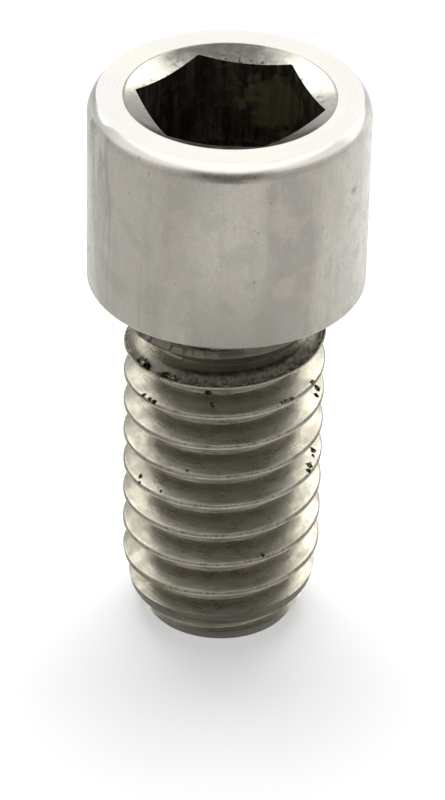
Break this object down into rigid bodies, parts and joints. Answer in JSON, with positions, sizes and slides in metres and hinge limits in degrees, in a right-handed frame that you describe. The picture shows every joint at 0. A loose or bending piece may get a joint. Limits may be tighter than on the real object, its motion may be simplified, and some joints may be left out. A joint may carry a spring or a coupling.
{
  "type": "hex socket cap screw",
  "caption": "Cap screw with a plain round head, a countersunk hex socket and a coarse right-hand thread up to the head, standing on its chamfered end face.",
  "frame": {"origin": "middle of the flat end face, which the screw stands on", "axes": "+Z along the screw's axis, from the end face up to the head; X and Y across it, with -Y towards the viewer of the picture"},
  "size_m": [0.0108, 0.0108, 0.0235],
  "materials": {
    "polished_steel": "polished stainless steel, satin on the side of the head"
  },
  "bodies": {
    "root": {"cap_screw": "polished_steel"}
  },
  "joints": []
}
